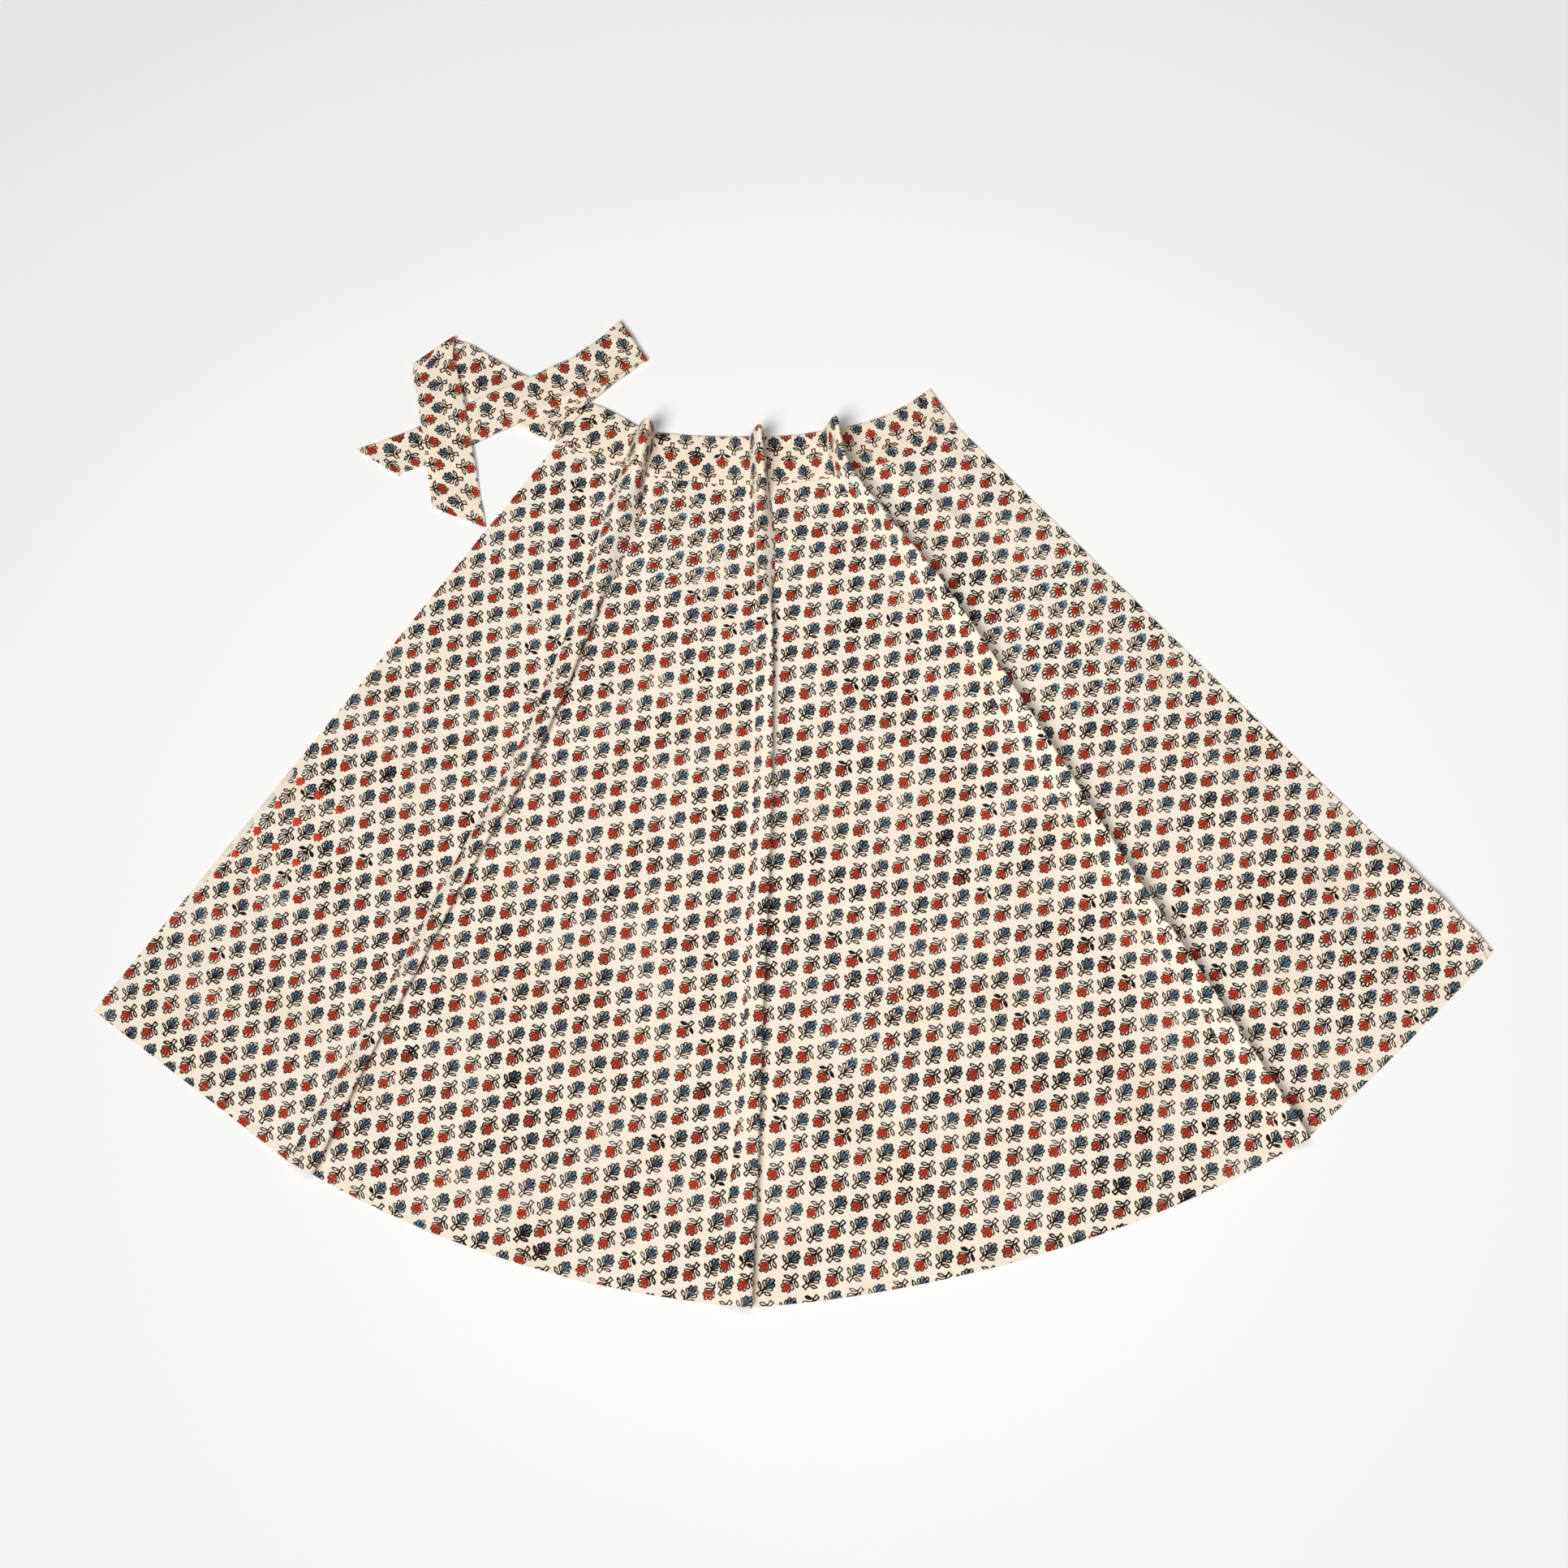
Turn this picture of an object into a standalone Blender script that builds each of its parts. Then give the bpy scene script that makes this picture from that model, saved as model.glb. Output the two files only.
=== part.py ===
"""A flared wrap skirt of block-printed cotton, laid flat, with its two ties crossed beside it.

The skirt lies doubled: a back layer flat on the ground, and a front layer on it that rises in three
long ridges, each pinched into a standing loop at the waistband.

X runs across the skirt, Y from hem to waist, and the ground is Z = 0. The tables and functions hold
millimetres, and the meshes hold metres.
"""

import math
from collections import namedtuple

import bpy
from mathutils import Vector

MM = 0.001
UP = Vector((0.0, 0.0, 1.0))

PANEL_WALL = 1.2
BAND_WALL = 1.5
TIE_WALL = 1.5
GAP = 0.3
BACK_INSET = 2.0
SKIRT_LENGTH = 800.0

PRINTED_CREAM = (0.86, 0.75, 0.59)
BAND_CREAM = (0.87, 0.76, 0.61)

# "down" is the share of the way from the waist seam to the hem. The band's top edge lies above 0.
BAND_TOP = -0.065
SEAM_SHARE = 0.0009
PANEL_ROWS = 18
ROW_CROWDING = 1.5  # the panel's rows lie closer near the waist: a power of the share of the way down
BAND_ROWS = 3
RIDGE_STEPS = 9
ROLL_STEPS = 6
TIE_STEPS = 3
SHARP_ANGLE = math.radians(40)
COTTON_ROUGHNESS = 0.9

# A ridge's section is a curve with two guide points. Their heights are shares of the ridge's own. The
# first lies a share of the width out, and the second leans out over the foot by so many undercuts.
RIDGE_RISES = (0.65, 1.75)
RIDGE_START = 0.35
RIDGE_LEAN = 2.3
SLOPE_STEP = 0.01  # the share of the way down over which a fold's direction is read

Edge = namedtuple("Edge", "down x y")
Fold = namedtuple("Fold", "down x y width foot height")
Gore = namedtuple("Gore", "columns top_bow seam_bow hem_bow")
Strip = namedtuple("Strip", "x1 y1 x2 y2 height")

LEFT_EDGE = (Edge(BAND_TOP, -214, 414), Edge(0.0, -248, 369), Edge(1.0, -682, -226))
RIGHT_EDGE = (Edge(BAND_TOP, 140, 430), Edge(0.0, 167, 389), Edge(1.0, 682, -168))

# Each fold starts at a crease at (x, y) and rises to a rounded edge about "width" to its right. From
# there it drops to meet the flat cloth again at "foot". Where the foot is nearer, the fold overhangs it.
LEFT_FOLD = (
    Fold(BAND_TOP, -164, 387, 18, 18, 34),
    Fold(0.00, -180, 342, 25, 26, 21),
    Fold(0.08, -198, 285, 27, 36, 12),
    Fold(0.20, -222, 196, 25, 24, 11),
    Fold(0.40, -275, 48, 22, 20, 12),
    Fold(0.60, -344, -92, 20, 18, 11),
    Fold(0.80, -413, -233, 20, 18, 10),
    Fold(1.00, -486, -370, 31, 27, 13),
)
CENTRE_FOLD = (
    Fold(BAND_TOP, -48, 376, 14, 14, 32),
    Fold(0.00, -47, 322, 18, 19, 20),
    Fold(0.08, -43, 256, 15, 22, 11),
    Fold(0.20, -41, 156, 18, 15, 10),
    Fold(0.40, -42, -10, 18, 15, 10),
    Fold(0.60, -48, -175, 18, 15, 10),
    Fold(0.80, -58, -341, 23, 20, 10),
    Fold(1.00, -78, -503, 37, 32, 12),
)
RIGHT_FOLD = (
    Fold(BAND_TOP, 30, 383, 14, 14, 34),
    Fold(0.00, 42, 332, 16, 16, 25),
    Fold(0.08, 82, 281, 15, 17, 15),
    Fold(0.20, 135, 198, 19, 15, 17),
    Fold(0.40, 219, 58, 20, 15, 18),
    Fold(0.60, 302, -82, 19, 14, 18),
    Fold(0.80, 388, -220, 18, 13, 17),
    Fold(1.00, 471, -360, 20, 15, 15),
)
FOLDS = (LEFT_FOLD, CENTRE_FOLD, RIGHT_FOLD)

# The flat cloth between folds, from left to right. A bow is how far its line sags towards the hem.
GORES = (Gore(3, -2, 0, 0), Gore(5, 2, 3, 20), Gore(6, 2, 2, 28), Gore(4, 8, 10, 3))

# A strip's row is its two edges and the height of the middle of its wall. The over tie runs up from
# the band's end and turns down in a fold; the under tie rises round the over tie's lower edge.
OVER_TIE = (
    (
        Strip(-215.0, 415.0, -249.2, 369.4, 2.55),
        Strip(-243, 427, -270, 382, 2.55),
        Strip(-278, 442, -302, 399, 2.55),
        Strip(-310, 460, -333, 415, 1.0),
        Strip(-340, 480, -370, 437, 0.75),
        Strip(-359, 488, -401, 455, 0.75),
    ),
    (
        Strip(-359, 488, -401, 455, 4.6),
        Strip(-360, 468, -401, 444, 4.8),
        Strip(-354, 446, -397, 428, 4.8),
        Strip(-347, 420, -393, 407, 4.8),
        Strip(-341, 387, -389, 383, 4.6),
        Strip(-333, 347, -384, 350, 3.2),
        Strip(-326, 310, -378, 315, 1.2),
        Strip(-319, 275, -375, 297, 0.75),
    ),
)
UNDER_TIE = (
    (
        Strip(-218.5, 409.5, -248.0, 371.5, 0.75),
        Strip(-240, 414, -250, 374, 0.75),
        Strip(-272, 412, -253, 375, 0.75),
        Strip(-291, 392, -255, 372.5, 0.75),
    ),
    (
        Strip(-291, 392, -255, 372.5, 4.35),
        Strip(-286, 402, -250, 384, 4.35),
        Strip(-272, 424, -238, 398, 4.35),
        Strip(-240, 448, -214, 415, 4.35),
        Strip(-214, 470, -190, 436, 2.0),
        Strip(-187, 506, -158, 461, 0.75),
    ),
    (
        Strip(-187, 506, -158, 461, 5.2),
        Strip(-204, 488, -176, 451, 5.5),
        Strip(-235, 464, -209, 426, 6.15),
        Strip(-257, 453, -234, 413, 6.15),
        Strip(-281, 440, -262, 401, 6.15),
        Strip(-329, 419, -309, 380, 4.4),
        Strip(-365, 401, -346, 361, 1.4),
        Strip(-405, 381, -384, 344, 0.75),
        Strip(-438, 369, -405, 337, 0.75),
        Strip(-457, 362, -411, 332, 0.75),
    ),
)


def clear_scene():
    for obj in list(bpy.data.objects):
        bpy.data.objects.remove(obj, do_unlink=True)


def interpolate(knots, values, place):
    """A smooth curve through (knots, values), read at place."""
    last = len(knots) - 1
    low = max(i for i in range(last) if i == 0 or knots[i] <= place)

    def slope(i):
        before, after = max(i - 1, 0), min(i + 1, last)
        if 0 < i < last and (values[after] - values[i]) * (values[i] - values[before]) <= 0:
            return 0.0
        return (values[after] - values[before]) / (knots[after] - knots[before])

    span = knots[low + 1] - knots[low]
    t = (place - knots[low]) / span
    start = (2 * t**3 - 3 * t**2 + 1) * values[low] + (t**3 - 2 * t**2 + t) * span * slope(low)
    end = (3 * t**2 - 2 * t**3) * values[low + 1] + (t**3 - t**2) * span * slope(low + 1)
    return start + end


def row_at(table, down):
    """The columns of a table, after its first one, at a share of the way down."""
    knots = [row.down for row in table]
    columns = list(zip(*table))[1:]
    return [interpolate(knots, column, down) for column in columns]


def straight_at(table, down):
    """A point of an edge, which is straight between the rows of its table."""
    low = max(i for i in range(len(table) - 1) if i == 0 or table[i].down <= down)
    first, second = table[low], table[low + 1]
    share = (down - first.down) / (second.down - first.down)
    return Vector((first.x, first.y, 0.0)).lerp(Vector((second.x, second.y, 0.0)), share)


def bow_at(gore, down):
    if down < 0:
        return gore.seam_bow + (gore.top_bow - gore.seam_bow) * down / BAND_TOP
    return gore.seam_bow + (gore.hem_bow - gore.seam_bow) * down


def ridge_section(fold, down):
    """The points over one fold from its crease to its foot, and the level direction across it."""
    x, y, width, foot, height = row_at(fold, down)
    above = row_at(fold, max(down - SLOPE_STEP, BAND_TOP))
    below = row_at(fold, min(down + SLOPE_STEP, 1.0))
    across = Vector((above[1] - below[1], below[0] - above[0], 0.0)).normalized()
    lean = width + RIDGE_LEAN * (width - foot)
    points = []
    for i in range(RIDGE_STEPS + 1):
        t = i / RIDGE_STEPS
        near, far = 3 * (1 - t) ** 2 * t, 3 * (1 - t) * t**2
        out = near * RIDGE_START * width + far * lean + t**3 * foot
        rise = (near * RIDGE_RISES[0] + far * RIDGE_RISES[1]) * height
        points.append(Vector((x, y, 0.0)) + across * out + UP * rise)
    return points, across


def flat_section(start, end, gore, down):
    """The points between two folds, without the first and last ones."""
    chord = end - start
    sag = Vector((chord.y, -chord.x, 0.0)).normalized() * bow_at(gore, down)
    shares = [i / gore.columns for i in range(1, gore.columns)]
    return [start + chord * share + sag * 4 * share * (1 - share) for share in shares]


def front_section(down):
    """One line across the front layer: its points, and the level direction of each step."""
    points, steps = [straight_at(LEFT_EDGE, down)], []
    for fold, gore in zip(FOLDS, GORES):
        ridge, across = ridge_section(fold, down)
        points += flat_section(points[-1], ridge[0], gore, down) + ridge
        steps += [None] * gore.columns + [across] * RIDGE_STEPS
    end = straight_at(RIGHT_EDGE, down)
    points += flat_section(points[-1], end, GORES[-1], down) + [end]
    steps += [None] * GORES[-1].columns
    return points, steps


def raised(points, steps, base, wall):
    """The lower and upper points of a wall that follows a section in its own upright plane."""
    normals = []
    for start, end, across in zip(points, points[1:], steps):
        ahead = end - start
        level = across or ahead.normalized()
        normals.append((UP * ahead.dot(level) - level * ahead.z).normalized())
    before, after = normals[:1] + normals, normals + normals[-1:]
    lower = [point + UP * base for point in points]
    upper = [
        point + (a + b) * wall / (1 + a.dot(b)) for point, a, b in zip(lower, before, after)
    ]
    return lower, upper


def wall_mesh(name, lower, upper):
    """A closed wall between two grids of points, given row by row."""
    rows, columns = len(lower), len(lower[0])
    count = rows * columns
    points = [point * MM for row in lower for point in row]
    points += [point * MM for row in upper for point in row]

    def at(row, column):
        return row * columns + column

    faces = []
    for r in range(rows - 1):
        for c in range(columns - 1):
            quad = (at(r, c), at(r + 1, c), at(r + 1, c + 1), at(r, c + 1))
            faces.append(tuple(count + i for i in quad))
            faces.append(quad[::-1])
    rim = [at(0, c) for c in range(columns)]
    rim += [at(r, columns - 1) for r in range(1, rows)]
    rim += [at(rows - 1, c) for c in range(columns - 2, -1, -1)]
    rim += [at(r, 0) for r in range(rows - 2, 0, -1)]
    for a, b in zip(rim, rim[1:] + rim[:1]):
        faces.append((b, a, count + a, count + b))
    mesh = bpy.data.meshes.new(name)
    mesh.from_pydata(points, [], faces)
    mesh.validate()
    return mesh


def cloth_material(name, colour):
    material = bpy.data.materials.new(name)
    material.use_nodes = True
    shader = material.node_tree.nodes["Principled BSDF"]
    shader.inputs["Base Color"].default_value = (*colour, 1.0)
    shader.inputs["Roughness"].default_value = COTTON_ROUGHNESS
    shader.inputs["Metallic"].default_value = 0.0
    return material


def add_piece(collection, data, colour):
    """An object for a mesh or a curve, under the data's own name."""
    piece = bpy.data.objects.new(data.name, data)
    data.materials.append(cloth_material(data.name + "_cotton", colour))
    if piece.type == "MESH":
        data.shade_smooth()
        data.set_sharp_from_angle(angle=SHARP_ANGLE)
    collection.objects.link(piece)
    return piece


def layer_mesh(name, shares, base, wall, columns=slice(None), trim=0.0):
    """A stretch of the front layer, with its last column drawn back by a trim."""
    grids = [], []
    for down in shares:
        for grid, row in zip(grids, raised(*front_section(down), base, wall)):
            row = row[columns]
            row[-1] = row[-1] + (row[-2] - row[-1]).normalized() * trim
            grid.append(row)
    return wall_mesh(name, *grids)


def front_panel():
    crowded = [(i / PANEL_ROWS) ** ROW_CROWDING for i in range(PANEL_ROWS + 1)]
    shares = [SEAM_SHARE + (1 - SEAM_SHARE) * share for share in crowded]
    return layer_mesh("front_panel", shares, PANEL_WALL + GAP, PANEL_WALL)


def front_band():
    """The band's long left piece and its right piece, which meet at the right fold's crease."""
    shares = [BAND_TOP * (1 - i / BAND_ROWS) for i in range(BAND_ROWS + 1)]
    crease = sum(gore.columns for gore in GORES[:3]) + 2 * RIDGE_STEPS
    base = BAND_WALL + GAP
    left = layer_mesh("waistband_left", shares, base, BAND_WALL, slice(0, crease + 1), GAP)
    right = layer_mesh("waistband_right", shares, base, BAND_WALL, slice(crease, None))
    return left, right


def plan_section(down):
    """The front layer's line across without its ridges, drawn in at both ends."""
    points = [straight_at(LEFT_EDGE, down)]
    for fold, gore in zip(FOLDS, GORES):
        ridge, _ = ridge_section(fold, down)
        points += flat_section(points[-1], ridge[0], gore, down) + [ridge[0], ridge[-1]]
    end = straight_at(RIGHT_EDGE, down)
    points += flat_section(points[-1], end, GORES[-1], down) + [end]
    points[0] += (points[1] - points[0]).normalized() * BACK_INSET
    points[-1] += (points[-2] - points[-1]).normalized() * BACK_INSET
    return points


def back_layer(name, top_share, bottom_share, wall):
    """A flat piece of the back layer, between two lines across."""
    outline = plan_section(top_share) + plan_section(bottom_share)[::-1]
    curve = bpy.data.curves.new(name, "CURVE")
    curve.dimensions = "2D"
    curve.fill_mode = "BOTH"
    curve.extrude = wall / 2 * MM
    spline = curve.splines.new("POLY")
    spline.points.add(len(outline) - 1)
    for knot, point in zip(spline.points, outline):
        knot.co = (point.x * MM, point.y * MM, 0.0, 1.0)
    spline.use_cyclic_u = True
    return curve


def spread(rows):
    """The rows of a strip's table with smooth steps between them."""
    knots = list(range(len(rows)))
    places = [i / TIE_STEPS for i in range((len(rows) - 1) * TIE_STEPS + 1)]
    return [Strip(*(interpolate(knots, column, place) for column in zip(*rows))) for place in places]


def edges_of(row):
    return Vector((row.x1, row.y1, row.height)), Vector((row.x2, row.y2, row.height))


def roll(before, start, end, facing):
    """A half turn of a strip about its fold line, without the first and last rows."""
    first, second = edges_of(start)
    radius = (end.height - start.height) / 2
    line = (second - first).normalized()
    travel = (first + second) / 2 - sum(edges_of(before), Vector()) / 2
    travel.z = 0.0
    outward = (travel - line * travel.dot(line)).normalized()
    rows = []
    for i in range(1, ROLL_STEPS):
        turn = math.pi * i / ROLL_STEPS
        arm = outward * math.sin(turn) - UP * math.cos(turn)
        shift = UP * radius + arm * radius
        rows.append((first + shift, second + shift, arm * facing))
    return rows


def tie_mesh(name, stretches):
    """A strip's wall through its stretches, each rolled up onto the last one."""
    rows, facing = [], 1
    for i, stretch in enumerate(stretches):
        if i:
            before = stretches[i - 1]
            rows += roll(before[-2], before[-1], stretch[0], facing)
            facing = -facing
        rows += [(*edges_of(row), UP * -facing) for row in spread(stretch)]
    half = TIE_WALL / 2
    outer = [[first + side * half, second + side * half] for first, second, side in rows]
    inner = [[first - side * half, second - side * half] for first, second, side in rows]
    return wall_mesh(name, outer, inner)


def main():
    clear_scene()
    skirt = bpy.data.collections.new("wrap_skirt")
    bpy.context.scene.collection.children.link(skirt)
    inset_share = BACK_INSET / SKIRT_LENGTH
    back_panel = back_layer("back_panel", SEAM_SHARE, 1 - inset_share, PANEL_WALL)
    back_band = back_layer("waistband_back", BAND_TOP + inset_share, 0.0, BAND_WALL)
    add_piece(skirt, back_panel, PRINTED_CREAM).location.z = PANEL_WALL / 2 * MM
    add_piece(skirt, back_band, BAND_CREAM).location.z = BAND_WALL / 2 * MM
    add_piece(skirt, front_panel(), PRINTED_CREAM)
    for mesh in (*front_band(), tie_mesh("tie_over", OVER_TIE), tie_mesh("tie_under", UNDER_TIE)):
        add_piece(skirt, mesh, BAND_CREAM)


main()
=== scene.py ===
"""The looks of a flared wrap skirt of block-printed cotton, laid flat on a pale floor.

Each CAD node is replaced by a thin shell of cloth on the same form. The tables of edges, folds, gores
and tie stretches are the ones that the solids are built from, in millimetres. The print, the weave,
the wear and a painted shade along one crease are worked out by the materials from two UV maps, both in
metres: "print" holds the place on the fabric before it was sewn, and "edge" how far that place is from
the piece's long sides and from its end.
"""

import math
from collections import namedtuple

import bpy
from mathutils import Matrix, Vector, noise


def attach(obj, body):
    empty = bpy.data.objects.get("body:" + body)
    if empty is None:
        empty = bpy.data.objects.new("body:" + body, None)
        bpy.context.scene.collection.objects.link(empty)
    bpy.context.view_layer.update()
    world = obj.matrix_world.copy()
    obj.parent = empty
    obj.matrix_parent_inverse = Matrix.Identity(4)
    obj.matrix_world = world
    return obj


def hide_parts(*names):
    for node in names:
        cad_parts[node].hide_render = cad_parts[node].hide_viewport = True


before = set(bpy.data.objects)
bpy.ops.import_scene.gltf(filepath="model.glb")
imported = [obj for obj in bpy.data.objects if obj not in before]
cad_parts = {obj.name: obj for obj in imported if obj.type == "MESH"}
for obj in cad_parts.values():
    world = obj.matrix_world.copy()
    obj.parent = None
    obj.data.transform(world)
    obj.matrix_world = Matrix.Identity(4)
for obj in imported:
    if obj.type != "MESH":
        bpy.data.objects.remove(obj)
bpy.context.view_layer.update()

MM = 0.001
UP = Vector((0.0, 0.0, 1.0))

# ---- sizes of the skirt, in millimetres
BAND_TOP = -0.065  # "down" is the share of the way from the waist seam, 0, to the hem, 1
SEAM_SHARE = 0.0004  # half of the gap between panel and band
SKIRT_LENGTH = 800.0  # from the waist seam to the hem
BACK_INSET = 2.0
BACK_TURN = 3.0  # how far the print of the back panel is turned, in degrees
JOIN_GAP = 0.3

# How thick each wall is, and how high the middle of the front ones lies over the floor.
PANEL_CLOTH, BAND_CLOTH, TIE_CLOTH = 0.45, 1.2, 1.1
FRONT_LIFT, EDGE_LIFT, BAND_LIFT = 2.4, 0.95, 2.3
CLEARANCE = 0.25

PANEL_ROWS = 120
ROW_CROWDING = 1.2  # above 1, the front panel's rows lie closer near the waist
BAND_ROWS = 14
BACK_PANEL_ROWS, BACK_BAND_ROWS = 60, 8
RIDGE_STEPS = 20
TIE_STEPS, TIE_COLUMNS = 12, 14
ROLL_STEPS = 12
SHARP_ANGLE = math.radians(50)

RIM_SHARE = 0.03  # how far in from its long edges, as a share of its width, a strip is rounded
RIM_THINNEST = 0.06  # the square of the share of its thickness that is left at the very edge
BAND_RIM_ROWS = (0.006, 0.018, 0.982, 0.994)  # more rows where it is rounded
TIE_RIM_COLUMNS = (0.008, 0.025, 0.975, 0.992)

# A ridge's section is a cubic curve. Its second and third points lie at these shares of the height.
RIDGE_RISES = (0.65, 1.75)
RIDGE_START = 0.35  # how far out the second point lies, as a share of the width
RIDGE_LEAN = 2.3  # how far past the width the third one lies, as a share of the width less the foot
SLOPE_STEP = 0.01
TUCK = 6.0  # the cloth that is caught in a fold's crease

Edge = namedtuple("Edge", "down x y")
Fold = namedtuple("Fold", "down x y width foot height")
Gore = namedtuple("Gore", "columns top_bow seam_bow hem_bow turn stretch shift_x shift_y")
Stretch = namedtuple("Stretch", "up_edge along rows")
Wave = namedtuple("Wave", "height size seed")

LEFT_EDGE = (Edge(BAND_TOP, -214, 414), Edge(0.0, -248, 369), Edge(1.0, -682, -226))
RIGHT_EDGE = (Edge(BAND_TOP, 140, 430), Edge(0.0, 167, 389), Edge(1.0, 682, -168))
# A fold rises from a crease at (x, y) and meets the flat cloth again at its foot.
LEFT_FOLD = (
    Fold(BAND_TOP, -164, 387, 18, 18, 34),
    Fold(0.00, -180, 342, 25, 26, 21),
    Fold(0.08, -198, 285, 27, 36, 12),
    Fold(0.20, -222, 196, 25, 24, 11),
    Fold(0.40, -275, 48, 22, 20, 12),
    Fold(0.60, -344, -92, 20, 18, 11),
    Fold(0.80, -413, -233, 20, 18, 10),
    Fold(1.00, -486, -370, 31, 27, 13),
)
CENTRE_FOLD = (
    Fold(BAND_TOP, -48, 376, 14, 14, 32),
    Fold(0.00, -47, 322, 18, 19, 20),
    Fold(0.08, -43, 256, 15, 22, 11),
    Fold(0.20, -41, 156, 18, 15, 10),
    Fold(0.40, -42, -10, 18, 15, 10),
    Fold(0.60, -48, -175, 18, 15, 10),
    Fold(0.80, -58, -341, 23, 20, 10),
    Fold(1.00, -78, -503, 37, 32, 12),
)
RIGHT_FOLD = (
    Fold(BAND_TOP, 30, 383, 14, 14, 34),
    Fold(0.00, 42, 332, 16, 16, 25),
    Fold(0.08, 82, 281, 15, 17, 15),
    Fold(0.20, 135, 198, 19, 15, 17),
    Fold(0.40, 219, 58, 20, 15, 18),
    Fold(0.60, 302, -82, 19, 14, 18),
    Fold(0.80, 388, -220, 18, 13, 17),
    Fold(1.00, 471, -360, 20, 15, 15),
)
FOLDS = (LEFT_FOLD, CENTRE_FOLD, RIGHT_FOLD)

# The flat cloth between folds. A bow is how far its line sags towards the hem. The turn, in degrees,
# the stretch and the shift are how the printed cloth lies in this gore.
GORES = (
    Gore(30, -2, 0, 0, 2.9, 1.027, -1.4, 15.9),
    Gore(48, 2, 3, 20, 0.35, 1.0155, -15.0, 2.3),
    Gore(64, 2, 2, 28, -0.75, 0.992, -15.5, -1.9),
    Gore(34, 8, 10, 3, -3.4, 0.985, -2.6, 4.3),
)

# A strip's rows go from one end to the other: x and y of its first edge, of its second edge, and its
# height. The print's upper side is at up_edge, one of the two, and it runs with the rows where along is 1.
OVER_TIE = (
    Stretch(1, -1, (
        (-215.0, 415.0, -249.2, 369.4, 2.55),
        (-243, 427, -270, 382, 2.55),
        (-278, 442, -302, 399, 2.55),
        (-310, 460, -333, 415, 1.0),
        (-340, 480, -370, 437, 0.75),
        (-359, 488, -401, 455, 0.75),
    )),
    Stretch(2, -1, (
        (-359, 488, -401, 455, 4.6),
        (-360, 468, -401, 444, 4.8),
        (-354, 446, -397, 428, 4.8),
        (-347, 420, -393, 407, 4.8),
        (-341, 387, -389, 383, 4.6),
        (-333, 347, -384, 350, 3.2),
        (-326, 310, -378, 315, 1.2),
        (-319, 275, -375, 297, 0.75),
    )),
)
UNDER_TIE = (
    Stretch(1, -1, (
        (-218.5, 409.5, -248.0, 371.5, 0.75),
        (-240, 414, -250, 374, 0.75),
        (-272, 412, -253, 375, 0.75),
        (-291, 392, -255, 372.5, 0.75),
    )),
    Stretch(1, 1, (
        (-291, 392, -255, 372.5, 4.35),
        (-286, 402, -250, 384, 4.35),
        (-272, 424, -238, 398, 4.35),
        (-240, 448, -214, 415, 4.35),
        (-214, 470, -190, 436, 2.0),
        (-187, 506, -158, 461, 0.75),
    )),
    Stretch(1, -1, (
        (-187, 506, -158, 461, 5.2),
        (-204, 488, -176, 451, 5.5),
        (-235, 464, -209, 426, 6.15),
        (-257, 453, -234, 413, 6.15),
        (-281, 440, -262, 401, 6.15),
        (-329, 419, -309, 380, 4.4),
        (-365, 401, -346, 361, 1.4),
        (-405, 381, -384, 344, 0.75),
        (-438, 369, -405, 337, 0.75),
        (-457, 362, -411, 332, 0.75),
    )),
)

# Soft ridges (a height above 0) and troughs of the front layer: x and y of a line's two ends, the
# ridge's width, and its height.
CREASES = (
    (66, 350, 150, 262, 7, -2.2),
    (80, 362, 185, 262, 9, 2.0),
    (112, 356, 215, 248, 8, -1.4),
    (-206, 350, -262, 236, 8, -2.0),
    (-222, 352, -300, 210, 9, 1.6),
    (-157, 338, -160, 286, 4, -2.4),
    (-146, 330, -150, 220, 9, 1.4),
    (-60, 322, -66, 210, 6, -1.6),
    (-20, 322, -14, 190, 5, 1.6),
    (30, 322, 52, 250, 6, -1.6),
    (55, 310, 120, 190, 16, -1.6),
    (160, 150, 225, 20, 18, -1.8),
    (395, -250, 440, -350, 14, -1.6),
    (420, 10, 560, -160, 26, 2.2),
    (470, -40, 640, -210, 22, -1.6),
    (560, -60, 660, -140, 14, 2.4),
    (330, 170, 520, 10, 24, -1.2),
    (-560, -60, -640, -220, 30, 1.6),
    (-350, 180, -480, -60, 26, -1.2),
    (-300, 240, -380, 110, 16, 1.2),
    (-90, 300, -110, 120, 26, 1.4),
    (-150, 220, -190, -40, 22, -1.0),
    (-260, -160, -330, -380, 30, 1.4),
    (-170, -240, -190, -430, 26, -1.0),
    (20, 280, 40, 60, 24, 1.2),
    (90, 60, 130, -200, 30, -1.0),
    (20, -200, 10, -480, 28, 1.3),
    (230, -180, 330, -400, 30, 1.4),
)
CREASE_FADE = (-0.15, 0.3)  # where a crease begins and is whole, as shares of it from either end

# The same for the ties, mostly where they cross.
TIE_CREASES = (
    (-281, 399, -194, 440, 4, 1.8),
    (-246, 416, -177, 446, 4, 1.5),
    (-251, 383, -224, 409, 4, 1.3),
    (-385, 440, -368, 330, 9, 1.4),
    (-430, 366, -385, 390, 6, 1.3),
    (-350, 482, -290, 448, 6, 1.3),
    (-225, 462, -172, 490, 6, 1.0),
)

# Where the front layer's edge stands off the floor: x and y, and the curl's reach and height.
CURLS = (
    (600, -84, 26, 5.0),
    (634, -118, 24, 6.0),
    (664, -150, 14, 3.0),
)

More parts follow.
